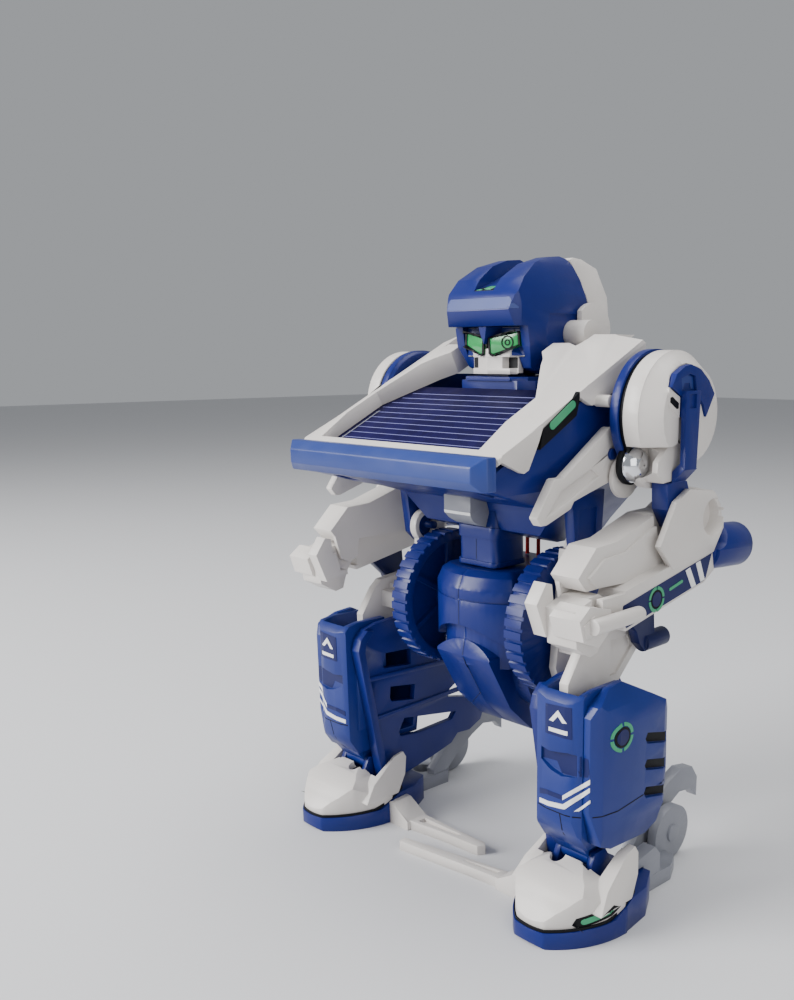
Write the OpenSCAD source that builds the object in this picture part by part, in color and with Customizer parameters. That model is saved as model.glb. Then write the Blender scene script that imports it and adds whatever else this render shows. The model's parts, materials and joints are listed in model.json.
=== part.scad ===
// Solar robot kit: a walking robot of clipped plastic mouldings, one solar cell, one small
// motor and a three-stage gear train that turns the two hip wheels.
// Millimetres. X to the robot's left, -Y to its front, Z up, feet on z = 0.

/* [Chest] */
// Half of the width of the front bar
bar_half = 38; // [37.5:0.1:38]
// Slope of the solar panel, degrees
panel_tilt = 26.5; // [26:0.1:27]
// Thickness of the solar panel
panel_t = 1.6; // [1.2:0.1:1.8]

/* [Head] */
// Height of the helmet's crown
crown_z = 170; // [169:0.1:171]
// Half of the width of the helmet's brow
brow_half = 13.4; // [13:0.1:13.6]
// Radius of the neck post
neck_r = 4; // [3.8:0.05:4.2]

/* [Hip mechanism] */
// Radius of the hip wheels
wheel_r = 20.5; // [20:0.1:20.8]
// Teeth round each hip wheel
wheel_teeth = 40; // [36:1:42]
// Throw of the crank pins
crank_throw = 2; // [1.5:0.1:2.2]
// Radius of the crank pins
crank_pin_r = 1.8; // [1.6:0.05:2]
// Radius of the hip shaft
shaft_r = 1.5; // [1.3:0.05:1.6]
// Running clearance on the radius
run = 0.06; // [0.04:0.01:0.09]
// Radius of the arch across the front of the gearbox
arch_r = 21.5; // [21:0.1:22]

/* [Gear train] */
// Module of the gears
gear_m = 0.5; // [0.5:0.01:0.5]
// Radius of the motor
motor_r = 12.2; // [12:0.05:12.2]
// Length of the motor
motor_len = 12.4; // [12:0.1:12.4]

/* [Arms] */
// Radius of the shoulder rim
rim_r = 16; // [15.6:0.1:16.2]
// Radius of the arm pivots
arm_pin_r = 2; // [1.8:0.05:2.2]
// Radius of the tail of the forearm
tail_r = 6.2; // [6:0.05:6.3]

/* [Legs] */
// Radius of the knee and ankle pins
leg_pin_r = 1.6; // [1.5:0.05:1.8]
// Thickness of the inner fin
fin_t = 2.2; // [2:0.05:2.2]

/* [Hidden] */
$fn = 64;
frame_shift = 14.2;
seam = 0.35;
blue = [0.13, 0.2, 0.62];
light_blue = [0.3, 0.42, 0.8];
navy = [0.07, 0.09, 0.32];
white = [0.88, 0.87, 0.85];
grey = [0.6, 0.62, 0.66];
dark = [0.05, 0.05, 0.06];
steel = [0.7, 0.71, 0.73];

// Fixed centres, as [y, z]
hip_c = [-11, 72];
motor_c = [-4, 57];
gear_a_c = motor_c + 10 * [cos(155), sin(155)];
gear_b_c = meet(gear_a_c, 9.5, hip_c, 10.5);
shoulder_c = [-1.8, 129.2];
spike_c = [-14, 119.5];
elbow_c = [-1.5, 103];
wrist_c = [-33, 85.5];
knee_c = [-25, 57];
ankle_c = [-29.5, 17.5];
guide_c = [-13.2, 93.5];
leg_x = 46;
ear_c = [2.5, 149.3];

// Where two circles meet, on the rear side
function meet(p, rp, q, rq) =
    let (d = norm(q - p), a = (rp * rp - rq * rq + d * d) / (2 * d), h = sqrt(rp * rp - a * a), u = (q - p) / d)
    p + a * u + h * [u[1], -u[0]];

// Outline of a spur gear with flanks drawn straight between three radii
function gear_points(n, m, slack, turn) =
    let (r = m * n / 2, ro = r + 0.9 * m, ri = r - 1.15 * m, w = 90 / n, s = slack / r * 28.65)
    [for (i = [0 : n - 1]) for (p = [
        [ri, -w * 1.42], [r, -w + s], [ro, -w * 0.42 + s / 2],
        [ro, w * 0.42 - s / 2], [r, w - s], [ri, w * 1.42]])
        let (a = turn + 360 * i / n + p[1]) [p[0] * cos(a), p[0] * sin(a)]];

// Prisms: a YZ outline run along X, an XZ outline run along Y, an XY outline run along Z
module along_x(x0, x1) {
    translate([x0, 0, 0]) rotate([90, 0, 90]) linear_extrude(x1 - x0) children();
}
module along_y(y0, y1) {
    translate([0, y1, 0]) rotate([90, 0, 0]) linear_extrude(y1 - y0) children();
}
module along_z(z0, z1) {
    translate([0, 0, z0]) linear_extrude(z1 - z0) children();
}
// Round bar along X, centred on c = [y, z]
module rod_x(x0, x1, c, r) {
    translate([x0, c[0], c[1]]) rotate([0, 90, 0]) cylinder(h = x1 - x0, r = r);
}
module cone_x(x0, x1, c, r0, r1) {
    translate([x0, c[0], c[1]]) rotate([0, 90, 0]) cylinder(h = x1 - x0, r1 = r0, r2 = r1);
}
module rod_y(y0, y1, x, z, r) {
    translate([x, y1, z]) rotate([90, 0, 0]) cylinder(h = y1 - y0, r = r);
}
module box(x0, x1, y0, y1, z0, z1) {
    translate([x0, y0, z0]) cube([x1 - x0, y1 - y0, z1 - z0]);
}
module round_rect(x0, x1, y0, y1, r) {
    translate([x0 + r, y0]) square([x1 - x0 - 2 * r, y1 - y0]);
    translate([x0, y0 + r]) square([x1 - x0, y1 - y0 - 2 * r]);
    for (x = [x0 + r, x1 - r]) for (y = [y0 + r, y1 - r]) translate([x, y]) circle(r);
}
// Frame that lies in the plane of the solar panel: y up the slope, z out of it
module on_slope() {
    translate([0, -52, 120]) rotate([panel_tilt, 0, 0]) children();
}
module place() {
    translate([0, frame_shift, 0]) children();
}
module side(s) {
    if (s > 0) children();
    else mirror([1, 0, 0]) children();
}
module both() {
    children();
    mirror([1, 0, 0]) children();
}

// ---------- gearbox ----------
// One storey of the barrel, i0 and i1 the insets of its walls at the foot and at the top
module barrel_layer(z0, z1, i0, i1) {
    intersection() {
        translate([0, -6.9, z0]) cylinder(h = z1 - z0, r1 = 22 - i0, r2 = 22 - i1);
        union() {
            along_y(-18.9, 9) polygon([[-16 + i0, z0], [16 - i0, z0], [16 - i1, z1], [-16 + i1, z1]]);
            along_x(-6, 6) polygon([[-28.9 + i0, z0], [9, z0], [9, z1], [-28.9 + i1, z1]]);
            for (x = [-6, 6]) translate([x, -18.9, z0]) cylinder(h = z1 - z0, r1 = 10 - i0, r2 = 10 - i1);
        }
    }
}
module gearbox_form(d) {
    // barrel with its parting line and domed rim
    difference() {
        intersection() {
            union() {
                barrel_layer(58 + d, 77.3, d, d);
                barrel_layer(77.2, 77.8, max(d, seam), max(d, seam));
                barrel_layer(77.7, 80.5, d, d);
                barrel_layer(80.5, 84.1 - d, d, 1.6 + d);
                barrel_layer(84.1 - d, 85.6 - d, 1.6 + d, 3.8 + d);
            }
            along_x(-20, 20) polygon([
                [-40, 50], [-40, 90], [2.6 - d, 87.1 - d], [7 - d, 84.1 - d], [8.6 - d, 80.5], [8.6 - d, 50]]);
        }
        rod_y(-40, -19, 0, 48.6, arch_r + d);
    }
    // front wall set back under the arch
    intersection() {
        barrel_layer(58 + d, 72, 2.4 + d, 2.4 + d);
        box(-20, 20, -40, -18, 50, 80);
    }
    // motor housing and the lobe that carries its leads
    rod_x(-16 + d, 16 - d, motor_c, 14.2 - d);
    intersection() {
        along_x(-10.6 + d, 10.6 - d) polygon([
            [-20, 66], [-26.8 + 1.15 * d, 65.5], [-27.7 + 1.2 * d, 60.7 + 0.3 * d],
            [-19.1 + 1.15 * d, 45.1 + 0.3 * d], [-10 + d, 36.4 + d], [-3 + d, 33 + d], [3 - d, 34 + d],
            [8 - d, 42 + d], [8.6 - d, 66]]);
        along_y(-40, 20) {
            translate([0, 49.5]) circle(16 - d);
            translate([-12, 30]) square([24, 20]);
        }
    }
}
module gearbox_half(s) {
    side(s) intersection() {
        difference() {
            gearbox_form(0);
            gearbox_form(1.6);
            rod_x(-20, 20, hip_c, shaft_r + run);
            along_z(84, 90) translate([0, -16]) square([12.2, 8.2], center = true);
        }
        box(0, 30, -40, 20, 20, 100);
    }
    // bearing boss
    side(s) difference() {
        rod_x(14.2, 17.6, hip_c, 3.6);
        rod_x(10, 20, hip_c, shaft_r + run);
    }
}
module gearbox_left() {
    color(blue) place() gearbox_half(1);
}
module gearbox_right() {
    color(blue) place() gearbox_half(-1);
}
module waist_column() {
    color(blue) place() {
        difference() {
            along_z(84, 104) round_rect(-7.5, 7.5, -21.7, -9, 2.2);
            along_z(83, 86.2) difference() {
                translate([-20, -30]) square([40, 40]);
                translate([-6, -20]) square([12, 8]);
            }
        }
        along_z(86.2, 87.6) round_rect(-7.9, 7.9, -22.2, -8.6, 2.4);
        along_z(94, 97.4) round_rect(-7.9, 7.9, -22.2, -8.6, 2.4);
    }
}
module waist_latch() {
    color(grey) place() difference() {
        intersection() {
            along_x(-6, 6) polygon([
                [-28.9, 107.8], [-28.9, 101.7], [-27.6, 100], [-25.4, 98.6], [-21.7, 97.5], [-21.7, 107.8]]);
            along_y(-30, -20) polygon([[-5.2, 108], [-5.2, 101.5], [-3.8, 97], [3.8, 97], [5.2, 101.5], [5.2, 108]]);
        }
        tray_form(0);
    }
}
module motor_can() {
    color(steel) place() {
        rod_x(-motor_len / 2, motor_len / 2, motor_c, motor_r);
        rod_x(motor_len / 2, motor_len / 2 + 0.5, motor_c, 3);
        rod_x(-motor_len / 2 - 0.5, -motor_len / 2, motor_c, 3);
    }
}
module pinion_x(x0, x1, c, n, turn, slack) {
    along_x(x0, x1) translate(c) polygon(gear_points(n, gear_m, slack, turn));
}
module motor_pinion() {
    color(steel) place() {
        pinion_x(7, 8.8, motor_c, 8, 155, 0.07);
    }
}
module gear_a() {
    color(white) place() difference() {
        union() {
            pinion_x(7.1, 8.7, gear_a_c, 32, turn_a, 0.07);
            pinion_x(8.7, 11.1, gear_a_c, 8, turn_a2, 0.07);
        }
        rod_x(6, 12, gear_a_c, 0.8);
    }
}
module gear_b() {
    color(white) place() difference() {
        union() {
            pinion_x(9.5, 11.1, gear_b_c, 30, turn_b, 0.07);
            pinion_x(11.1, 13.7, gear_b_c, 10, turn_b2, 0.07);
        }
        rod_x(9, 14, gear_b_c, 0.8);
    }
}
module gear_pins() {
    color(steel) place() {
        rod_x(6.9, 14.4, gear_a_c, 0.74);
        rod_x(9.3, 14.4, gear_b_c, 0.74);
    }
}
// Directions between the centres, degrees
dir_ab = atan2((gear_b_c - gear_a_c)[1], (gear_b_c - gear_a_c)[0]);
dir_bs = atan2((hip_c - gear_b_c)[1], (hip_c - gear_b_c)[0]);
// A gap faces the mating tooth: gears that drive put a tooth on the line of centres
turn_a = 155 + 180 + 180 / 32;
turn_a2 = dir_ab;
turn_b = dir_ab + 180 + 180 / 30;
turn_b2 = dir_bs;
turn_out = dir_bs + 180 + 180 / 32;

module crank_shaft() {
    color(steel) place() {
        rod_x(-21.5, 21.5, hip_c, shaft_r);
        pinion_x(11.9, 13.6, hip_c, 32, turn_out, 0.07);
    }
}
module wheel(s) {
    pin = [hip_c[0] + s * crank_throw, hip_c[1]];
    difference() {
        union() {
            difference() {
                along_x(20, 26) translate(hip_c) wheel_outline();
                rod_x(19, 24, hip_c, wheel_r - 3);
            }
            rod_x(18.6, 24.5, hip_c, 4.6);
            rod_x(25.9, 27, pin, crank_pin_r + 0.9);
            rod_x(25.9, 30.4, pin, crank_pin_r);
            for (a = [0 : 60 : 300]) along_x(22.6, 24.5) translate(hip_c) rotate(a + 30)
                translate([3, -0.7]) square([wheel_r - 5, 1.4]);
        }
        rod_x(10, 21.5, hip_c, shaft_r);
    }
}
module wheel_outline() {
    circle(wheel_r - 0.7);
    for (i = [0 : wheel_teeth - 1]) rotate(360 * i / wheel_teeth)
        translate([wheel_r - 1.5, 0]) square([3, 2.1], center = true);
}
module wheel_left() {
    color(blue) place() wheel(1);
}
module wheel_right() {
    color(blue) place() mirror([1, 0, 0]) wheel(-1);
}

// ---------- chest ----------
module tray_form(d) {
    intersection() {
        along_x(-36 + d, 36 - d) polygon([
            [-52.2 + d, 113 + 0.6 * d], [-52.2 + d, 116.4 + d], [-8.5, 138.2], [8.4 - d, 138.2],
            [8.4 - d, 93.4 + d], [-9, 93.4 + d], [-20 + d, 97 + d], [-22.6 + d, 104.6 + d],
            [-29, 106.6 + d], [-38, 108.6 + d]]);
        along_y(-60, 20) polygon([
            [-36 + d, 150], [36 - d, 150], [36 - d, 111.5 + 0.4 * d], [19 - 0.6 * d, 93.4 + d],
            [-19 + 0.6 * d, 93.4 + d], [-36 + d, 111.5 + 0.4 * d]]);
    }
}
module chest_tray() {
    color(blue) place() difference() {
        union() {
            difference() {
                tray_form(0);
                tray_form(1.8);
            }
            both() rod_x(34.5, 42.4, shoulder_c, 3.9);
            both() rod_x(34.5, 38.4, spike_c, 3.4);
            both() rod_x(38, 41.9, spike_c, 1.4);
        }
        box(-7.6, 7.6, -21.8, -8.9, 80, 104.2);
        box(-8, 8, -22.3, -8.5, 80, 97.5);
        both() rod_x(36.9, 43, shoulder_c, arm_pin_r + run);
        both() box(26, 31, -47, -41, 105, 112.5);
    }
}
module front_bar() {
    color(light_blue) place() intersection() {
        along_x(-bar_half, bar_half) polygon([
            [-52.3, 113.2], [-56, 113.2], [-57.8, 115.4], [-57.8, 119], [-55.4, 121.2], [-52.3, 121.2]]);
        along_z(100, 130) polygon([
            [-bar_half, -52], [-bar_half, -55], [-bar_half + 3.2, -58], [bar_half - 3.2, -58],
            [bar_half, -55], [bar_half, -52]]);
    }
}
module window(d) {
    polygon([
        [-30.5 + d, 2.4], [30.5 - d, 2.4], [30.5 - d, 25], [21 - d, 41], [17.4 - d, 45], [17.4 - d, 75],
        [-17.4 + d, 75], [-17.4 + d, 45], [-21 + d, 41], [-30.5 + d, 25]]);
}
module rail_profile() {
    polygon([[13, -1.5], [37, -1.5], [38, -0.9], [38, 0.4], [23, 5], [13, 5]]);
}
module chest_frame() {
    color(white) place() {
        difference() {
            union() {
                intersection() {
                    on_slope() union() {
                        along_y(0.2, 72) both() rail_profile();
                        along_y(0.2, 4) translate([-20, -1.5]) square([40, 6.5]);
                    }
                    // roof line seen from the side, flat deck at the rear
                    along_x(-39, 39) polygon([
                        [-52.1, 110], [-52.1, 121.2], [-49, 123.2], [-24, 140], [-10, 147], [-4, 149],
                        [9.4, 149], [9.4, 110]]);
                }
                // side skirts and the flaps at their lower ends
                both() along_x(36.1, 38) polygon([
                    [-38.3, 124.5], [-36.9, 126.3], [-23.3, 133.8], [-18, 131.5], [-9.5, 134.6], [6, 142.5],
                    [9.4, 142.5], [9.4, 149], [4, 147], [-20, 136.5]]);
                both() along_x(36.2, 38.2) polygon([
                    [-51.5, 120.2], [-43.2, 116.7], [-41.6, 117.4], [-38.2, 123.5], [-36.4, 127.6], [-39.5, 126.6],
                    [-50.5, 121.5]]);
                // rear wall and the pegs beside the shoulders
                box(-30, 30, 8.4, 9.4, 139.4, 142.6);
                both() rod_x(37.5, 42, [-15.6, 132.6], 1.5);
            }
            on_slope() along_z(-20, 20) window(0);
            along_x(-39, 39) polygon([[-60, 100], [-60, 106], [8.6, 139.5], [20, 139.5], [20, 100]]);
            // room for the head and its ear posts to turn
            intersection() {
                translate([0, -3, 145.2]) cylinder(h = 10, r = 26);
                box(-30, 30, -9.5, 12, 140, 160);
            }
            box(-19.8, 19.8, 0, 12, 130, 160);
            // chamfered rear corners
            both() along_x(30, 42) polygon([[0.2, 150], [0.2, 148.7], [3.6, 146.8], [4, 139], [12, 139], [12, 150]]);
        }
    }
}
module solar_panel() {
    color(navy) place() on_slope() along_z(-1.6 - panel_t, -1.6)
        polygon([[-31.6, 1], [31.6, 1], [31.6, 25.4], [25, 36.6], [-25, 36.6], [-31.6, 25.4]]);
}
module chest_back() {
    color(blue) place() difference() {
        union() {
            along_y(8.5, 11) polygon([
                [-34, 138], [34, 138], [34, 113], [19.4, 95], [-19.4, 95], [-34, 113]]);
            along_y(10.9, 13.2) polygon([
                [-22, 127.5], [22, 127.5], [24, 120], [14, 99], [-14, 99], [-24, 120]]);
            along_y(13.1, 14.4) round_rect(-9, 9, 104, 119, 2);
        }
        for (x = [-28, 28]) for (z = [117, 135]) rod_y(9.6, 15, x, z, 2.2);
        for (i = [0 : 4]) box(-6.5, 6.5, 13.6, 16, 106.2 + 2.4 * i, 107.4 + 2.4 * i);
    }
}
module case_screws() {
    color(steel) place() {
        for (x = [-28, 28]) for (z = [117, 135]) difference() {
            rod_y(9.7, 10.8, x, z, 1.9);
            box(x - 1.2, x + 1.2, 10.3, 12, z - 0.25, z + 0.25);
            box(x - 0.25, x + 0.25, 10.3, 12, z - 1.2, z + 1.2);
        }
        both() for (c = [[2, 80], [-16.9, 61], [2, 47.5]]) difference() {
            rod_x(16, 17.2, c, 1.9);
            rod_x(16.8, 18, c, 0.8);
        }
    }
}
module collar() {
    color(blue) place() difference() {
        union() {
            along_z(131, 137) polygon([
                [-14, 8.2], [-14, -12.6], [-10.6, -16.2], [10.6, -16.2], [14, -12.6], [14, 8.2]]);
            along_z(136.9, 138) polygon([
                [-11.6, 4], [-11.6, -13], [-8.4, -16.8], [8.4, -16.8], [11.6, -13], [11.6, 4]]);
            along_z(131, 134) polygon([[-16.8, 8.2], [-16.8, -13], [16.8, -13], [16.8, 8.2]]);
            translate([0, -3, 137.6]) cylinder(h = 7.2, r = neck_r);
        }
        along_x(-50, 50) polygon([[-60, 112], [9, 147 - 6.9], [9, 120], [-60, 100]]);
    }
}
module struts() {
    color(blue) place() both() difference() {
        union() {
            along_x(31, 34) polygon([
                [-21.5, 115], [-7, 115], [-8.6, 91.5], [-11.4, 88.4], [-15.4, 88.4], [-18.6, 91.5]]);
            rod_x(26.8, 31.2, guide_c, 1.2);
            rod_x(30.2, 31.2, guide_c, 3);
        }
        tray_form(0);
        along_x(33.4, 35) polygon([
            [-18, 105], [-10.5, 105], [-11, 93], [-12.4, 91], [-14.6, 91], [-16.6, 93]]);
    }
}
module lead_wires() {
    for (s = [-1, 1]) color(s < 0 ? [0.75, 0.06, 0.05] : dark) place()
        translate([s * 2.2, 2, 85.8]) cylinder(h = 7.4, r = 0.6);
}

// ---------- head ----------
module helmet_form() {
    intersection() {
        along_x(-20, 20) polygon([
            [-19.2, 151.2], [-20.6, 155.2], [-19.2, 158.8], [-15.4, 163.6], [-9.6, 167.4], [-3, crown_z - 0.6],
            [3, crown_z],
            [5.4, crown_z - 0.6], [9, 159.5], [10.4, 152], [9.5, 141], [4, 138.6], [-7, 138.6], [-12, 140.4],
            [-14.6, 146], [-15.4, 151.2]]);
        along_y(-30, 20) polygon([
            [-brow_half, 151], [-brow_half, 158.4], [-12.4, 163.8], [-10.8, 167.4], [-8.4, crown_z],
            [8.4, crown_z], [10.8, 167.4], [12.4, 163.8], [brow_half, 158.4], [14.3, 151], [14.3, 147.4],
            [11.6, 139.8], [10, 138.5], [-10, 138.5], [-11.6, 139.8], [-14.3, 147.4], [-14.3, 151]]);
        along_z(130, 180) polygon([
            [-11.4, -21], [11.4, -21], [brow_half + 0.2, -17.6], [14.4, -8], [14.4, 11], [-14.4, 11],
            [-14.4, -8], [-brow_half - 0.2, -17.6]]);
    }
}
module helmet() {
    color(blue) place() difference() {
        helmet_form();
        // face opening
        box(-10.9, 10.9, -25, -11.4, 143.2, 151.2);
        box(-8.7, 8.7, -25, -11.4, 130, 143.3);
        // trough along the crown, with a ramp for its floor
        intersection() {
            along_x(-8, 8) polygon([[-18, 160.3], [-9, 163.6], [3, 168.2], [8, 168.6], [8, 180], [-18, 180]]);
            along_z(160, 180) polygon([[-3.6, -18.1], [3.6, -18.1], [6.8, 8], [-6.8, 8]]);
        }
        // neck socket and hollow
        translate([0, -3, 130]) cylinder(h = 15.2, r = neck_r + run);
        box(-9.5, 9.5, -9, 7.4, 146.4, 158);
        // round cheeks
        both() difference() {
            rod_x(13.7, 18, ear_c, 10.6);
            box(10, 20, -20, 20, 154.6, 170);
        }
    }
}
module face_plate() {
    color(white) place() {
        difference() {
            box(-10.8, 10.8, -13.4, -11.5, 139, 151);
            both() box(8.5, 12, -15, -11, 138, 143.4);
        }
        // mask, pinched at both sides
        difference() {
            union() {
                along_z(138.7, 145.4) polygon([[-5, -13.2], [-4.6, -15.6], [0, -16.8], [4.6, -15.6], [5, -13.2]]);
                for (z = [138.7, 143.2]) along_z(z, z == 138.7 ? 140.2 : 145.4)
                    polygon([[-8.2, -13.2], [-7, -15.2], [0, -16.8], [7, -15.2], [8.2, -13.2]]);
            }
            both() along_y(-18, -13.4) eye_outline(0.1);
        }
    }
}
module eye_outline(d) {
    polygon([[1.3 - d, 144 - d], [1 - d, 148.3 + d], [9.9 + d, 149.9 + d], [10.1 + d, 146.2 - d], [2.4, 143.6 - d]]);
}
module eye_lenses() {
    color([0.15, 0.75, 0.35]) place() both() intersection() {
        along_y(-18, -11) eye_outline(0);
        along_z(140, 152) polygon([[0.6, -17.3], [10.4, -14.6], [10.4, -13.5], [0.6, -13.5]]);
    }
}
module head_crest() {
    color(white) place() {
        difference() {
            intersection() {
                along_x(-15, 15) polygon([
                    [5.9, 169.2], [7.6, 169.9], [11, 169.6], [16.8, 167.4], [18.6, 159.6], [17, 149], [13.4, 143.6],
                    [10.8, 143.6], [10.8, 152], [9.4, 159.7]]);
                along_y(0, 30) polygon([
                    [-14.4, 140], [-14.4, 154], [-13, 160], [-10.4, 167.6], [-9, 172], [9, 172], [10.4, 167.6],
                    [13, 160], [14.4, 154], [14.4, 140]]);
            }
            along_x(-7, 7) polygon([[17, 166], [18.2, 160], [17, 152], [30, 152], [30, 166]]);
        }
        // ear posts and their round shoulders
        both() {
            rod_x(13.75, 21, ear_c, 3.7);
            intersection() {
                rod_x(14.35, 16, [9.4, 150.4], 7.4);
                box(14, 17, 4, 20, 145.6, 160);
            }
            box(14.3, 16, 2.5, 11, 146.4, 152);
        }
    }
}

// ---------- arms: left arm, mirrored for the right ----------
module shoulder_rim_form() {
    difference() {
        union() {
            cone_x(42.5, 43.4, shoulder_c, rim_r - 0.9, rim_r);
            rod_x(43.3, 45.6, shoulder_c, rim_r);
            rod_x(45.5, 46.9, shoulder_c, rim_r - 1.2);
        }
        rod_x(42, 43.4, shoulder_c, 12.6);
    }
    difference() {
        rod_x(42.3, 43.6, shoulder_c, 6);
        rod_x(42, 42.9, shoulder_c, 4.4);
    }
    rod_x(37.2, 43.6, shoulder_c, arm_pin_r);
}
module dome_cut() {
    along_x(40, 62) polygon([
        [-30, 121.5], [-9.5, 121.9], [-5, 123.4], [-2, 122.4], [0.4, 119.2], [1, 100], [-30, 100]]);
}
module shoulder_shell_form() {
    difference() {
        union() {
            rod_x(47, 51.6, shoulder_c, rim_r - 0.3);
            cone_x(51.5, 56.4, shoulder_c, rim_r - 0.3, 11.9);
            // raised facet in front of the strap
            along_x(55, 56.6) polygon([[-12.1, 135.9], [-5.4, 132.9], [-4.8, 127.4], [-12.1, 131.8]]);
        }
        dome_cut();
        // recess for the strap
        along_x(55.4, 60) polygon([[-7.3, 135.4], [-0.7, 135.4], [-0.7, 100], [-7.3, 100]]);
        // hollow behind the lamp
        rod_x(46, 49.6, shoulder_c, 5.4);
        along_x(55.2, 60) inset_outline(0.3);
    }
}
// Outline of the blue crest round the top of the strap
module inset_outline(d) {
    polygon([[-11.5 - d, 136.2], [-9.5 - d, 139.3 + d], [-6.2, 141 + d], [-3.6, 141.5 + d], [1, 140.2 + d],
        [4.8 + d, 137.5 + d], [7.5 + d, 134.2], [4, 128.6 - d], [2.6 - d, 131.6], [-0.4, 134.6], [-0.9, 132.9 - d],
        [-5.3, 132.9 - d]]);
}
module inset_form() {
    difference() {
        along_x(55.25, 57) inset_outline(0);
        along_x(56.2, 60) polygon([[-7.6, 138.2], [-4, 139.2], [-1.5, 138.7], [-0.7, 135], [-7, 135]]);
    }
}
module shoulder_lamp_form() {
    difference() {
        union() {
            rod_x(47, 49.6, [-8.4, 116.6], 5.6);
            along_x(49.5, 54.6) polygon([[-13, 115.6], [-10.4, 112.8], [-5.2, 113.2], [-1.4, 115], [0.2, 117],
                [-0.2, 119], [-2.4, 121.6], [-5, 122.8], [-9, 121.4], [-12.8, 118]]);
            // half round lip behind the lens
            difference() {
                rod_x(42.05, 43.3, [-10.6, 113.6], 5.4);
                rod_x(42, 44, shoulder_c, rim_r + 0.05);
            }
        }
        along_x(40, 60) polygon([[-20, 130], [-20, 121.3], [-9.5, 121.7], [-5, 123.2], [-2, 122.2],
            [0.1, 119.2], [12, 119], [12, 130]]);
        cone_x(47.5, 53, [-12.4, 118.4], 5.2, 3);
    }
}
module upper_arm_form() {
    difference() {
        union() {
            // strap, and the step that takes it into the forearm
            along_x(56.95, 58.4) polygon([[-7.2, 135.2], [-0.9, 135.2], [-1.6, 116], [-6.8, 116]]);
            along_x(55.5, 58) polygon([[-7, 135], [-1, 135], [-1, 129], [-7, 129]]);
            inset_form();
            intersection() {
                along_y(-7, -1) polygon([[58.4, 116.1], [55, 112.8], [55, 111], [53, 111], [53, 113.6], [56.95, 117.6]]);
                along_x(50, 60) polygon([[-6.8, 118], [-1.6, 118], [-0.6, 111], [-7.6, 111]]);
            }
            along_x(50.2, 55) polygon([
                [-9, 112.6], [-0.4, 112.6], [2.6, 106], [2.2, 101], [-1.5, 99.2], [-5, 101], [-8.6, 106]]);
        }
        along_x(47, 54.8) polygon([[-13, 115.6], [-10.4, 112.6], [-5.2, 113], [-1.4, 114.8], [0.2, 117]]);
        along_x(57.8, 60) polygon([[-5.6, 134.4], [-2.6, 134.4], [-2.6, 131], [-5.6, 131]]);
        rod_x(40, 60, elbow_c, arm_pin_r + run);
    }
}
module forearm_form() {
    difference() {
        union() {
            // upper shell
            along_x(43.4, 52) polygon([
                [-36.6, 89.4], [-39.6, 93], [-33, 99.4], [-24.8, 99.9], [-9.8, 104.6], [-2, 104.8],
                [4, 107.8], [9, 109.8], [14.6, 108.4], [18.6, 104.6], [19.6, 99.4], [15, 94.6], [-10, 89.6]]);
            along_x(51.9, 52.8) polygon([
                [-33.8, 89.8], [-36.4, 92.6], [-30.4, 96.4], [-22, 97], [-12, 101.6], [1, 103],
                [4, 109.6], [11.4, 109.2], [15.6, 105], [17, 99.6], [13.6, 94], [-8, 88.8]]);
            along_x(51.9, 55.4) polygon([
                [2, 91], [2, 104], [4, 109.6], [11.4, 109.2], [15.6, 105], [17, 99.6], [13.6, 94.1], [10, 93.3]]);
            // outer cheek beside the elbow
            along_x(55.3, 57) polygon([
                [-14, 97.6], [-7.4, 108], [-1.6, 110.8], [9.8, 109.1], [14.6, 104.2], [15, 99], [10.6, 93], [-8, 91]]);
            // lower box
            along_x(48.4, 56.5) polygon([
                [-28.3, 85.7], [-29.4, 82.6], [-26.8, 78.6], [7.4, 85.2], [12, 87.8], [10.7, 93.4], [-8, 92],
                [-27, 88.6]]);
        }
        // slot for the upper arm
        along_x(49.9, 55.3) polygon([
            [-12.2, 114], [-9.4, 99.4], [-1.5, 98], [3.8, 99.4], [6.4, 114]]);
        // cupped end
        rod_x(52.6, 60, [9.8, 102.4], 5);
        // knuckle recess at the front
        along_x(44.9, 54.6) polygon([[-45, 80], [-45, 89.2], [-29.6, 89.2], [-27.4, 86.4], [-26.4, 80]]);
        rod_x(48.4, 49.4, elbow_c, 1);
    }
    rod_x(48.6, 55.6, elbow_c, arm_pin_r);
    // wrist pin
    rod_x(43.8, 55.4, wrist_c, 1.5);
    along_x(43.4, 44.8) polygon([[-38, 91], [-36, 84], [-33, 82.8], [-30, 84], [-29, 91]]);
    along_x(54.7, 56.5) polygon([[-36, 88], [-35.6, 84], [-33, 82.8], [-28, 82.8], [-27, 88]]);
}
module forearm_tail_form() {
    difference() {
        union() {
            translate([52, 9.8, 93.4]) rotate([-94, 0, 0]) cylinder(h = 4, r = tail_r - 0.9);
            translate([52, 12, 93.3]) rotate([-94, 0, 0]) cylinder(h = 17, r = tail_r);
        }
        translate([52, 24, 92.4]) rotate([-94, 0, 0]) cylinder(h = 10, r = tail_r - 1.6);
        along_x(40, 60) polygon([[6, 84], [7.4, 85], [12.1, 87.7], [10.8, 93.2], [13.7, 93.8], [15.2, 94.5], [19.7, 99.4],
            [18.7, 104.7], [6, 110]]);
    }
}
module forearm_pipe_form() {
    difference() {
        union() {
            rod_y(-11, -1.6, 50, 71.2, 2.5);
            along_x(48.6, 51.4) polygon([[-20, 79.8], [-8, 82.1], [-7, 70], [-11, 69], [-13.6, 71.5], [-15, 75]]);
        }
        rod_y(-8.6, 0, 50, 71.2, 1.5);
    }
}
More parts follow.
